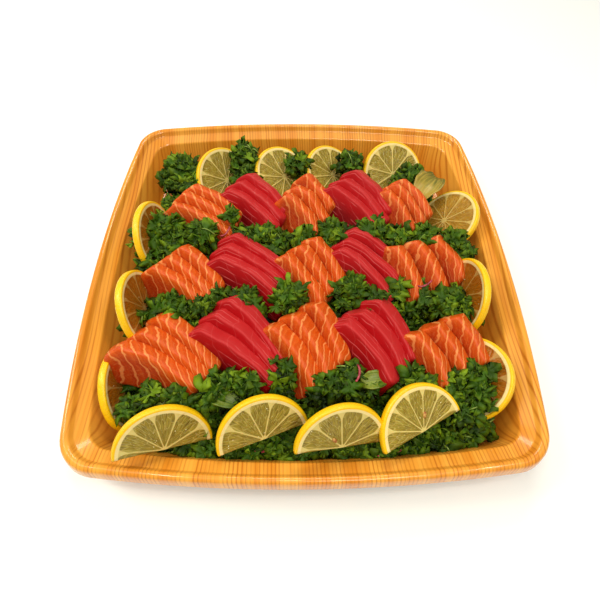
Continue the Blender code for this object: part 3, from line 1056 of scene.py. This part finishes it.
@dataclass(frozen=True)
class CitrusMaker:
    """The shape that all citrus slices share."""

    radius: float = 29.2 * MM
    face_share: float = 0.98  # the face's radius, as a share of the slice's
    thick: float = 5.0 * MM
    steps: int = 120
    relief: float = 0.35 * MM  # how far the membranes stand over the flesh
    membrane: float = 0.10  # a membrane's half breadth, in segments at the rind
    rough: float = 0.12 * MM
    pith: float = 0.87  # where the flesh ends, as a share of the radius
    rim: float = 0.972  # where the rind begins
    floor: float = 2.3 * MM
    first_sector: float = 20.0  # keeps the segments' numbers positive
    # Rings on a face, as shares of the radius, and round the rind, with their depths in the slice
    outs: tuple[float, ...] = (0.02, 0.06, 0.12, 0.2, 0.3, 0.4, 0.5, 0.6, 0.68, 0.75, 0.81, 0.86, 0.9, 0.94,
                               0.975, 0.995)
    edge: tuple[tuple[float, float], ...] = ((1.012, 0.12), (1.02, 0.3), (1.022, 0.5), (1.02, 0.7),
                                             (1.012, 0.88))

    def material_list(self) -> dict[Tint, list[bpy.types.Material]]:
        """The face and rind finishes for each tint."""
        rind = CitrusRind().material()
        return {tint: [CitrusFace(tint).material(), rind] for tint in Tint}

    def build(self, slice_: Citrus, materials: Sequence[bpy.types.Material],
              rng: np.random.RandomState) -> bpy.types.Object:
        """Makes one slice.

        Args:
            slice_: Where it lies.
            materials: Face and rind finish.
            rng: Where its segments' differences come from.

        Returns:
            The finished piece.
        """
        segments = int(rng.choice((9, 10, 10, 11)))
        wobble = rng.uniform(0, 2 * math.pi, 2)
        sway = rng.uniform(0.10, 0.22, 2)
        lumps = Vector(rng.uniform(-9, 9, 3))

        def sector(angle: float) -> float:
            """Numbers the segments, which differ a little in breadth.

            Args:
                angle: The angle round the core, in radians.

            Returns:
                The segment number there; its fraction says how far across the segment.
            """
            once = sway[0] * math.sin(angle + wobble[0])
            twice = sway[1] / 2 * math.sin(2 * angle + wobble[1])
            return (angle + once + twice) * segments / (2 * math.pi)

        shape = bmesh.new()
        face = [(out, 0.0) for out in self.outs]
        back = [(out, 1.0) for out in reversed(self.outs)]
        profile = (*face, *self.edge, *back)
        made = loft(shape, [self.ring(out, depth, sector, wobble, lumps) for out, depth in profile])
        self.chart(shape, made, [out for out, _ in profile], sector)
        for row in shape.faces:
            middle = row.calc_center_median()
            row.material_index = int(math.hypot(middle.x, middle.y) > self.radius * self.rim)
        if slice_.roll is not None:
            self.halve(shape, math.radians(slice_.roll))
        bmesh.ops.transform(shape, matrix=self.frame(slice_), verts=shape.verts)
        if min(vertex.co.z for vertex in shape.verts) < self.floor:
            cut_off(shape, UP * self.floor, -UP)
        bmesh.ops.recalc_face_normals(shape, faces=shape.faces)
        return piece(shape, slice_.node + "_slice", "citrus", materials, [slice_.node])

    def ring(self, out: float, depth: float, sector: Callable[[float], float], wobble: Sequence[float],
             lumps: Vector) -> list[Vector]:
        """One ring of points of a slice that lies flat at the origin.

        Args:
            out: Its distance from the core, as a share of the radius.
            depth: Its depth in the slice: 0 on the face, 1 on the back.
            sector: The segment number at an angle.
            wobble: Where the outline's bulges are, in radians.
            lumps: Where the faces' small unevenness is read.

        Returns:
            The ring's points.
        """
        points = []
        for step in range(self.steps):
            angle = 2 * math.pi * step / self.steps
            around = Vector((math.cos(angle), math.sin(angle), 0))
            lift = 0.0
            if depth in (0.0, 1.0):
                share = sector(angle) % 1.0
                raised = max(0.0, 1 - min(share, 1 - share) * out / self.membrane)
                sunk = 0.0 if out > self.pith else (raised - 1.0) * self.relief * (1 - 2 * depth)
                lift = sunk + noise.noise((around - UP * depth) * out * 9 + lumps) * self.rough
            uneven = 1 + 0.012 * math.sin(2 * angle + wobble[0]) + 0.008 * math.sin(3 * angle + wobble[1])
            reach = self.radius * self.face_share * out * uneven
            points.append(around * reach + UP * (lift - depth * self.thick))
        return points

    def chart(self, shape: bmesh.types.BMesh, made: list[list], outs: Sequence[float],
              sector: Callable[[float], float]) -> None:
        """Writes each corner's segment number and distance from the core.

        Args:
            shape: The slice.
            made: Its rings of vertices.
            outs: Each ring's distance from the core, as a share of the radius.
            sector: The segment number at an angle.
        """
        layer = shape.loops.layers.uv.new("segments")
        known = {vertex: (step, out) for ring, out in zip(made, outs) for step, vertex in enumerate(ring)}
        for row in shape.faces:
            steps = [known[loop.vert][0] for loop in row.loops]
            wraps = len(steps) == 4 and max(steps) - min(steps) > 2
            for loop in row.loops:
                step, out = known[loop.vert]
                step = self.steps if wraps and step == 0 else step
                turn = sector(2 * math.pi * step / self.steps)
                loop[layer].uv = (turn + self.first_sector, out)

    def halve(self, shape: bmesh.types.BMesh, roll: float) -> None:
        """Cuts a slice to a half moon and closes the cut.

        Args:
            shape: The slice, still flat at the origin.
            roll: How far its straight edge is turned.
        """
        layer = shape.loops.layers.uv["segments"]
        caps = cut_off(shape, Vector(), Vector((math.sin(roll), -math.cos(roll), 0)))
        for cap in caps:
            for loop in cap.loops:
                near = next(other for other in loop.vert.link_loops if other.face not in caps)
                loop[layer].uv = near[layer].uv

    def frame(self, slice_: Citrus) -> Matrix:
        """Where a slice lies: the middle of its face, with Z out of the face and X level.

        Args:
            slice_: The slice.

        Returns:
            Its place and turn.
        """
        tilt, heading = math.radians(slice_.tilt), math.radians(slice_.heading)
        ahead = Vector((math.cos(heading), math.sin(heading), 0))
        out = ahead * math.cos(tilt) + UP * math.sin(tilt)
        level = Vector((-ahead.y, ahead.x, 0))
        turn = Matrix((level, out.cross(level), out)).transposed().to_4x4()
        return Matrix.Translation(Vector((slice_.x, slice_.y, slice_.z)) * MM) @ turn


# ---------------------------------------------------------------------------------------------------
# Parsley
# ---------------------------------------------------------------------------------------------------


# Sprigs that stand out of the heap and over its neighbours, in millimetres: x, y, top, reach
SPRIGS = (
    (-110, 101, 46, 12), (-105, 84, 42, 12), (-118, 92, 38, 8), (-52, 108, 52, 11), (-50, 95, 46, 11),
    (-5, 103, 46, 9), (43, 104, 47, 10), (97, 92, 40, 11), (84, 76, 38, 8),
    (-123, 16, 48, 10.5), (-113, 29, 50, 12.5), (-116, -2, 44, 10.5), (-98, 12, 46, 14.5),
    (-81, 21, 51, 12.5), (-73, 28, 48, 8.5), (-60, 36, 50, 6), (-48, 15, 48, 12.5), (-22, 14, 46, 12.5),
    (0, 16, 46, 12.5), (24, 21, 49, 12.5), (52, 22, 49, 13.5), (75, 16, 48, 13.5), (98, 15, 49, 13.5),
    (118, 14, 48, 10.5), (126, 5, 46, 8.5),
    (-122, -53, 36, 8), (-108, -49, 44, 11.5), (-92, -43, 48, 12.5), (-74, -45, 48, 12.5), (-62, -36, 45, 8),
    (-43, -41, 47, 13.5), (-14, -36, 48, 13.5), (-2, -31, 46, 10), (15, -25, 45, 8), (33, -31, 49, 12.5),
    (51, -37, 48, 12.5), (70, -32, 45, 11), (88, -36, 45, 12), (105, -39, 48, 12.5), (117, -49, 44, 9.5),
    (-111, -113, 38, 9), (-99, -107, 43, 9), (-83, -110, 45, 12), (-65, -104, 47, 12), (-46, -101, 47, 12),
    (-33, -97, 47, 10), (-17, -93, 48, 10), (-6, -91, 48, 9), (12, -101, 47, 12), (28, -97, 46, 10),
    (45, -99, 43, 10), (62, -97, 43, 11), (78, -96, 45, 11), (94, -98, 47, 11), (111, -98, 47, 11),
    (121, -94, 43, 8), (114, -109, 43, 10), (103, -116, 41, 11),
    (-78, -133, 24, 8), (-65, -136, 26, 9), (-48, -136, 26, 8), (-33, -137, 22, 7), (-17, -138, 24, 9),
    (-4, -137, 26, 9), (24, -137, 22, 7), (40, -139, 24, 8), (53, -137, 26, 9), (72, -137, 22, 8),
    (92, -132, 26, 10), (107, -127, 26, 9), (118, -121, 24, 8),
    (-113, 66, 32, 9), (-119, 50, 30, 8), (-30, 22, 47, 9), (30, 8, 44, 9), (60, 32, 44, 8),
    (-76, -58, 42, 8), (104, -24, 38, 8), (-120, -90, 30, 8),
)

Spot = tuple[Vector, Vector, float]  # where a leaflet is, the way it faces, and how high it lies, 0 to 1


@dataclass(frozen=True)
class Parsley:
    """The heap: a core painted near black as the shade inside it, under thousands of lobed leaflets, with
    thin stems between them.
    """

    node: str = "parsley_bed"
    sunk: float = 2.6 * MM  # how far the core lies under the heap's surface
    per_area: float = 1 / (13.0 * MM * MM)
    clear: float = 2.0 * MM  # least room in front of the heap for a leaflet
    headroom: float = 9.0 * MM  # least room above it
    overhang: float = -0.2  # faces that point further down stay bare
    spread: float = 2.0 * MM  # how far leaflets lie in and out of the heap
    sprig_leaves: int = 36  # in a sprig of 10 mm reach
    sprig_depth: float = 7.0  # how deep a sprig's leaflets go, in millimetres
    gap: float = 0.8 * MM  # least room between a sprig's leaflet and its neighbours
    width: tuple[float, float] = (8.5 * MM, 15.0 * MM)
    leaf_thickness: float = 0.07  # as a share of its width
    lobes: int = 3
    rim: int = 22
    kinds: int = 6
    stems: int = 90
    stem_steps: int = 7
    bands: tuple[float, ...] = (-1.0, -0.085, -0.02, 0.05, 1.0)

    def leaflet(self, kind: int) -> tuple[np.ndarray, np.ndarray, np.ndarray]:
        """One thin lobed leaflet with a toothed edge, of unit width, with its stalk towards -Y.

        Args:
            kind: Which of the leaflets' curls.

        Returns:
            Points, triangles and each point's distance from the middle.
        """
        shape = bmesh.new()
        bmesh.ops.create_cone(shape, cap_ends=True, cap_tris=True, segments=self.rim, radius1=1.0,
                              radius2=0.55, depth=self.leaf_thickness)
        curl = 1.4 * kind
        for vertex in shape.verts:
            angle = math.atan2(vertex.co.y, vertex.co.x)
            out = math.hypot(vertex.co.x, vertex.co.y)
            tooth = 0.10 if round((angle + math.pi) / (2 * math.pi) * self.rim) % 2 else -0.09
            warped = angle + 0.28 * math.sin(angle + 2.6 * kind)
            lobe = 0.68 + 0.28 * math.cos(self.lobes * (warped - math.pi / 2)) + tooth * out
            reach = 0.55 * out * lobe
            ruffle = 0.17 * math.sin(self.lobes * 2 * angle + curl) + 0.12 * math.sin(2 * angle + 2 * curl)
            lift = vertex.co.z + out**2 * (ruffle - 0.10 + 0.24 * math.sin(curl))
            vertex.co = Vector((reach * math.cos(angle), reach * math.sin(angle) * 1.25, lift))
        bmesh.ops.triangulate(shape, faces=shape.faces)
        shape.verts.index_update()
        points = np.array([vertex.co for vertex in shape.verts])
        triangles = np.array([[vertex.index for vertex in face.verts] for face in shape.faces])
        shape.free()
        return points, triangles, np.hypot(points[:, 0], points[:, 1]) * 1.8

    def neighbours(self) -> BVHTree:
        """Gathers everything on the tray but the heap, to keep leaflets out of it.

        Returns:
            The tree of its faces.
        """
        solid = bmesh.new()
        for name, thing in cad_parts.items():
            if name not in (self.node, "tray"):
                solid.from_mesh(thing.data)
        tree = BVHTree.FromBMesh(solid)
        solid.free()
        return tree

    def heap_spots(self, others: BVHTree, rng: np.random.RandomState) -> list[Spot]:
        """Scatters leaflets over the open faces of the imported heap.

        Args:
            others: What else lies on the tray.
            rng: Where the scatter comes from.

        Returns:
            The leaflets' spots.
        """
        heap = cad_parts[self.node].data
        spots = []
        for face in heap.polygons:
            if face.normal.z < self.overhang:
                continue
            foot, left, right = (heap.vertices[index].co for index in face.vertices)
            wanted = face.area * self.per_area
            for _ in range(int(wanted) + (rng.uniform() < wanted - int(wanted))):
                a, b, high = rng.uniform(0, 1, 3)
                if a + b > 1:
                    a, b = 1 - a, 1 - b
                spot = foot + (left - foot) * a + (right - foot) * b
                start = spot + face.normal * 0.1 * MM
                if others.ray_cast(start, face.normal, self.clear)[0] is None \
                        and others.ray_cast(start, UP, self.headroom)[0] is None:
                    lifted = spot + face.normal * (2 * high - 1) * self.spread
                    spots.append((lifted, face.normal.copy(), high))
        return spots

    def sprig_spots(self, others: BVHTree, rng: np.random.RandomState) -> list[Spot]:
        """Places the leaflets of the standing sprigs, each sprig a loose dome.

        Args:
            others: What else lies on the tray.
            rng: Where the scatter comes from.

        Returns:
            The leaflets' spots.
        """
        spots = []
        for x, y, top, reach in SPRIGS:
            for _ in range(int(self.sprig_leaves * (reach / 10) ** 2)):
                turn = rng.uniform(0, 2 * math.pi)
                out, deep = math.sqrt(rng.uniform(0, 1)), rng.uniform(0, 1)
                dome = math.sqrt(max(0.0, 1 - 0.9 * out * out))
                height = top - reach * 1.1 * (1 - dome) - self.sprig_depth * deep**1.5 - 2.0
                where = Vector((x + reach * out * math.cos(turn), y + reach * out * math.sin(turn),
                                height)) * MM
                away = Vector((math.cos(turn) * out, math.sin(turn) * out, 0.9)).normalized()
                near, normal, _, distance = others.find_nearest(where)
                if (where - near).dot(normal) >= 0 and distance >= self.gap:
                    spots.append((where, away, 1 - deep))
        return spots

    def scatter(self, name: str, spots: Sequence[Spot], material: bpy.types.Material,
                rng: np.random.RandomState) -> None:
        """Joins a leaflet at every spot into one piece.

        Args:
            name: The piece's name.
            spots: Where the leaflets are.
            material: Their finish.
            rng: Where their differences come from.
        """
        kinds = [self.leaflet(kind) for kind in range(self.kinds)]
        points, triangles, tints = [], [], []
        start = 0
        for spot, normal, high in spots:
            shape, faces, reach = kinds[rng.randint(self.kinds)]
            facing = normal * 0.55 + Vector((0, -0.15, 0.50)) + Vector(rng.uniform(-1, 1, 3)) * 0.85
            facing.normalize()
            side = facing.orthogonal().normalized()
            side.rotate(Matrix.Rotation(rng.uniform(0, 2 * math.pi), 3, facing))
            turn = np.array((side, facing.cross(side), facing))
            size = rng.uniform(*self.width) * (0.85 + 0.25 * high)
            placed = shape * size @ turn + np.array(spot)
            placed[:, 2] = np.maximum(placed[:, 2], LOWEST)
            points.append(placed)
            triangles.append(faces + start)
            start += len(shape)
            # Painted shade: leaflets lower in the heap get a darker shade value, with random spread; a tenth
            # are fresh yellow green.
            shade = np.clip(0.05 + 0.80 * high + rng.uniform(-0.40, 0.35), 0, 1)
            fresh = float(rng.uniform() < 0.10)
            tints.append([(shade, share, fresh, 1.0) for share in np.clip(reach, 0, 1)])
        mesh = bpy.data.meshes.new(name)
        mesh.from_pydata(np.concatenate(points).tolist(), [], np.concatenate(triangles).tolist())
        layer = mesh.color_attributes.new("tint", "FLOAT_COLOR", "POINT")
        layer.data.foreach_set("color", np.concatenate(tints).ravel())
        dressed(mesh, [material])

    def core(self) -> None:
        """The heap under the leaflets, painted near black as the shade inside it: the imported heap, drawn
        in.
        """
        shape = bmesh.new()
        shape.from_mesh(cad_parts[self.node].data)
        bmesh.ops.remove_doubles(shape, verts=shape.verts, dist=0.01 * MM)
        shape.normal_update()
        drawn = [vertex.co - vertex.normal * self.sunk for vertex in shape.verts]
        for vertex, place in zip(shape.verts, drawn):
            vertex.co = (place.x, place.y, max(place.z, LOWEST))
        # Painted shade: the core is near-black green, standing in for the shade inside the heap.
        shade = PlainSurface("parsley_shade", linear(10, 20, 3), linear(26, 42, 8), 300.0, 0.85)
        piece(shape, "parsley_core", "parsley", [shade.material()], [self.node])

    def stalks(self, spots: Sequence[Spot], rng: np.random.RandomState) -> None:
        """Makes the thin pale stems that arch between the leaflets.

        Args:
            spots: Where leaflets are.
            rng: Which spots carry a stem, and its arch.
        """
        shape = bmesh.new()
        for index in rng.choice(len(spots), self.stems, replace=False):
            spot = spots[index][0]
            turn = rng.uniform(0, 2 * math.pi)
            level = Vector((math.cos(turn), math.sin(turn), 0))
            length = rng.uniform(9, 18) * MM
            middles = []
            for step in range(self.stem_steps):
                share = step / (self.stem_steps - 1)
                arch = (2.2 - 5.0 * (2 * share - 1) ** 2) * MM
                radius = (0.62 - 0.2 * share) * MM
                middles.append((spot + level * length * (share - 0.5) + UP * arch, radius, radius))
            round_rod(shape, middles, Vector((-level.y, level.x, 0)), 5)
        stem = PlainSurface("parsley_stem", linear(96, 128, 36), linear(134, 156, 66))
        piece(shape, "parsley_stems", "parsley", [stem.material()])

    def build(self, rng: np.random.RandomState) -> None:
        """Makes the core, the leaflets in bands from front to back, the sprigs and the stems.

        Args:
            rng: Where the scatter comes from.
        """
        leaf = LeafGreen().material()
        self.core()
        others = self.neighbours()
        heap = self.heap_spots(others, rng)
        for name, low, high in zip(("front", "middle", "upper", "back"), self.bands, self.bands[1:]):
            self.scatter("parsley_" + name, [spot for spot in heap if low <= spot[0].y < high], leaf, rng)
        sprigs = self.sprig_spots(others, rng)
        self.scatter("parsley_sprigs", sprigs, leaf, rng)
        self.stalks(sprigs, rng)


# ---------------------------------------------------------------------------------------------------
# Loose leaves
# ---------------------------------------------------------------------------------------------------


@dataclass(frozen=True)
class PaleLeaf:
    """A cupped pale leaf, in millimetres and degrees: its foot, heading, length and width."""

    node: str
    x: float
    y: float
    z: float
    heading: float
    length: float
    width: float
    finish: tuple[Colour, ...] = ()
    columns: int = 12
    rows: int = 20
    wall: float = 0.7 * MM

    def build(self) -> bpy.types.Object:
        """Makes the leaf as a thin curved blade with a wavy edge.

        Returns:
            The finished piece.
        """
        shape = bmesh.new()
        layer = shape.loops.layers.uv.new("blade")
        bmesh.ops.create_grid(shape, x_segments=self.columns, y_segments=self.rows, size=1.0)
        turn = math.radians(self.heading)
        direction = Vector((math.cos(turn), math.sin(turn), 0))
        across = Vector((-direction.y, direction.x, 0))
        start = Vector((self.x, self.y, self.z)) * MM
        for face in shape.faces:
            for loop in face.loops:
                loop[layer].uv = (loop.vert.co.x, (loop.vert.co.y + 1) / 2)
        for vertex in shape.verts:
            side, share = vertex.co.x, (vertex.co.y + 1) / 2
            half = self.width * MM * (0.16 + 0.34 * math.sin(math.pi * min(0.98, 0.10 + 0.85 * share)))
            wave = 0.10 * math.sin(share * 19 + side * 2) * abs(side) ** 2
            arch = 0.14 * self.length * MM * math.sin(math.pi * share)
            middle = start + direction * self.length * MM * share
            vertex.co = middle + across * half * side + UP * (arch + half * (0.45 * side * side + wave))
        finish = PaleLeafGreen(self.node, *self.finish)
        leaf = piece(shape, self.node + "_blade", "leaf", [finish.material()], [self.node])
        wall = leaf.modifiers.new("wall", "SOLIDIFY")
        wall.thickness = self.wall
        wall.offset = 1.0
        return leaf


LEAVES = (
    PaleLeaf("lettuce_leaf", 101.0, 66.0, 34.0, 50, 32.0, 24.0, (linear(176, 152, 58), linear(84, 88, 14))),
    PaleLeaf("pale_leaf_1", -98.0, -116.0, 34.0, 35, 20.0, 14.0),
    PaleLeaf("pale_leaf_2", -68.0, -104.0, 36.0, -20, 28.0, 12.0),
    PaleLeaf("pale_leaf_3", 36.0, -100.0, 37.0, 10, 18.0, 12.0),
)


# ---------------------------------------------------------------------------------------------------
# Seeds, drops and shreds
# ---------------------------------------------------------------------------------------------------


@dataclass(frozen=True)
class Scraps:
    """The smallest things: citrus pips, beads of juice and thin red shreds in the parsley."""

    # Pips: citrus node, turn in degrees, distance from the core as a share of the radius
    pips: tuple[tuple[str, float, float], ...] = (
        ("citrus_front_4", 62, 0.35), ("citrus_front_3", 118, 0.28), ("citrus_left_3", -30, 0.45),
    )
    pip: tuple[float, float, float] = (2.3 * MM, 1.3 * MM, 0.8 * MM)
    # Shreds: middle x, y, z in millimetres and heading in degrees
    shreds: tuple[tuple[float, float, float, float], ...] = (
        (-28, -139, 20, 10), (40, -141, 18, -20), (50, -139, 22, 60), (56, -140, 19, 0),
        (93, -136, 20, 35), (34, -96, 46, 80), (-60, 20, 44, 50), (88, -30, 46, 20),
    )
    shred_half: float = 5.5 * MM
    shred_steps: int = 9
    beads: int = 9  # on a clear face
    few_beads: int = 3  # on a brown one
    bead_floor: float = 6.0 * MM  # beads lower than this would lie in the tray

    def ellipsoid(self, shape: bmesh.types.BMesh, place: Matrix, size: Sequence[float]) -> None:
        """Adds a small ellipsoid.

        Args:
            shape: The bmesh to build in.
            place: Where it lies.
            size: Its three radii.
        """
        matrix = place @ Matrix.Diagonal((*size, 1.0))
        bmesh.ops.create_uvsphere(shape, u_segments=8, v_segments=6, radius=1.0, matrix=matrix)

    def add_pips(self, maker: CitrusMaker) -> None:
        """Makes the pips.

        Args:
            maker: What says where the slices lie.
        """
        slices = {citrus.node: citrus for citrus in CITRUS}
        shape = bmesh.new()
        for node, turn, out in self.pips:
            place = maker.frame(slices[node]) @ Matrix.Rotation(math.radians(turn), 4, "Z")
            self.ellipsoid(shape, place @ Matrix.Translation((maker.radius * out, 0, 0.1 * MM)), self.pip)
        shell = PlainSurface("pip_shell", linear(206, 160, 84), linear(150, 78, 28), 700.0)
        piece(shape, "citrus_pips", "citrus", [shell.material()])

    def add_beads(self, maker: CitrusMaker, rng: np.random.RandomState) -> None:
        """Makes the beads of juice on the citrus faces.

        Args:
            maker: What says where the slices lie.
            rng: Where the beads sit.
        """
        shape = bmesh.new()
        for citrus in CITRUS:
            for _ in range(self.beads if citrus.tint is Tint.OLIVE else self.few_beads):
                turn = rng.uniform(0, math.pi) + math.radians(citrus.roll or 0)
                out = maker.radius * math.sqrt(rng.uniform(0.02, 0.75))
                spot = Matrix.Translation((out * math.cos(turn), out * math.sin(turn), 0))
                place = maker.frame(citrus) @ spot
                if place.translation.z > self.bead_floor:
                    self.ellipsoid(shape, place, Vector((1, 1, 0.8)) * rng.uniform(0.18, 0.36) * MM)
        juice = Sheet("juice_bead").shade(Base_Color=(0.86, 0.76, 0.42), Roughness=0.08)
        piece(shape, "juice_beads", "citrus", [juice])

    def add_shreds(self, rng: np.random.RandomState) -> None:
        """Makes the thin red shreds.

        Args:
            rng: How the shreds curl.
        """
        shape = bmesh.new()
        for x, y, z, heading in self.shreds:
            turn = math.radians(heading)
            along = Vector((math.cos(turn), math.sin(turn), 0))
            across = Vector((-along.y, along.x, 0))
            bend = rng.uniform(1.0, 2.6) * MM
            middles = []
            for step in range(self.shred_steps):
                share = step / (self.shred_steps - 1) * 2 - 1
                middle = Vector((x, y, z)) * MM + along * share * self.shred_half
                curl = across * bend * share * share + UP * 1.2 * MM * math.sin(2.5 * share)
                middles.append((middle + curl, 0.8 * MM, 0.5 * MM))
            round_rod(shape, middles, across, 6)
        skin = PlainSurface("red_shred", linear(128, 22, 44), linear(176, 60, 78), 500.0, 0.4)
        piece(shape, "red_shreds", "leaf", [skin.material()])

    def build(self, rng: np.random.RandomState) -> None:
        """Makes the pips, the beads and the shreds.

        Args:
            rng: Where the beads fall and how the shreds curl.
        """
        maker = CitrusMaker()
        self.add_pips(maker)
        self.add_beads(maker, rng)
        self.add_shreds(rng)


# ---------------------------------------------------------------------------------------------------
# Stage
# ---------------------------------------------------------------------------------------------------


@dataclass(frozen=True)
class Lamp:
    """A soft rectangular lamp that faces the plate: where it hangs, its width and depth, its power."""

    name: str
    place: tuple[float, float, float]
    size: tuple[float, float]
    power: float
    warmth: Colour = (1.0, 0.94, 0.82)
    aim: tuple[float, float, float] = (0.0, 0.0, 0.03)

    def hang(self) -> None:
        """Hangs the lamp."""
        data = bpy.data.lights.new(self.name, "AREA")
        data.shape = "RECTANGLE"
        data.size, data.size_y = self.size
        data.energy = self.power
        data.color = self.warmth
        lamp = stood(self.name, data)
        lamp.location = self.place
        lamp.rotation_euler = (Vector(self.place) - Vector(self.aim)).to_track_quat("Z", "Y").to_euler()


LAMPS = (
    Lamp("lamp_back", (0.05, 0.75, 0.95), (0.5, 0.25), 4.2),
    Lamp("lamp_left", (-0.75, 0.15, 0.85), (0.25, 0.5), 5.0),
    Lamp("lamp_front", (0.25, -0.55, 1.1), (0.4, 0.3), 5.2),
    Lamp("lamp_strip_left", (-0.38, -0.09, 1.0), (0.22, 0.06), 1.7),
    Lamp("lamp_strip_middle", (-0.02, -0.09, 1.0), (0.07, 0.06), 0.6),
    Lamp("lamp_strip_right", (0.56, -0.09, 1.0), (0.24, 0.06), 1.9),
)


@dataclass(frozen=True)
class Studio:
    """A pale floor, soft lamps and the camera."""

    lens: float = 23.48
    film: float = 36.0
    eye: tuple[float, float, float] = (-0.00864, -0.17536, 0.2878)
    pitch: float = math.radians(61.13)
    yaw: float = math.radians(2.17)
    roll: float = math.radians(1.73)
    floor_half: float = 3.0
    paper: Colour = (0.92, 0.97, 1.0)
    sky: Colour = (1.0, 0.93, 0.80)
    sky_strength: float = 0.36

    def camera(self) -> None:
        """Sets the camera to look down at the plate from its front."""
        level = Vector((math.sin(self.yaw), math.cos(self.yaw), 0))
        ahead = level * math.cos(self.pitch) - UP * math.sin(self.pitch)
        right = Vector((level.y, -level.x, 0))
        up = right.cross(ahead)
        side = right * math.cos(self.roll) + up * math.sin(self.roll)
        top = up * math.cos(self.roll) - right * math.sin(self.roll)
        data = bpy.data.cameras.new("camera")
        data.lens = self.lens
        data.sensor_width = self.film
        data.clip_start = 0.01
        camera = stood("camera", data)
        view = Matrix((side, top, -ahead)).transposed().to_4x4()
        camera.matrix_world = Matrix.Translation(self.eye) @ view
        bpy.context.scene.camera = camera

    def floor(self) -> None:
        """Lays the pale floor."""
        shape = bmesh.new()
        bmesh.ops.create_grid(shape, x_segments=1, y_segments=1, size=self.floor_half)
        mesh = bpy.data.meshes.new("floor")
        shape.to_mesh(mesh)
        shape.free()
        paper = Sheet("floor_paper").shade(Base_Color=self.paper, Roughness=0.9, Specular_IOR_Level=0.1)
        mesh.materials.append(paper)
        stood("floor", mesh)

    def surroundings(self) -> None:
        """Sets the even light from all round."""
        world = bpy.data.worlds.new("surroundings")
        world.use_nodes = True
        background = world.node_tree.nodes["Background"]
        background.inputs["Color"].default_value = (*self.sky, 1.0)
        background.inputs["Strength"].default_value = self.sky_strength
        bpy.context.scene.world = world
        bpy.context.scene.view_settings.view_transform = "Standard"

    def build(self) -> None:
        """Makes the floor, the surroundings, the lamps and the camera."""
        self.floor()
        self.surroundings()
        for lamp in LAMPS:
            lamp.hang()
        self.camera()


def main() -> None:
    """Builds the plate from the tray up, and then its stage."""
    logging.basicConfig(level=logging.INFO, format="%(message)s")
    noise.seed_set(NOISE_SEED)
    Tray().build()
    fish_rng = np.random.RandomState(11)
    flesh = {Fish.SALMON: SalmonFlesh().material(), Fish.TUNA: TunaFlesh().material()}
    slices = SliceMaker()
    for portion in PORTIONS:
        slices.build(portion, flesh[portion.fish], fish_rng)
    citrus_rng = np.random.RandomState(23)
    maker = CitrusMaker()
    faces = maker.material_list()
    for citrus in CITRUS:
        maker.build(citrus, faces[citrus.tint], citrus_rng)
    for leaf in LEAVES:
        leaf.build()
    Parsley().build(np.random.RandomState(37))
    Scraps().build(np.random.RandomState(53))
    Studio().build()


if __name__ == "__main__":
    main()
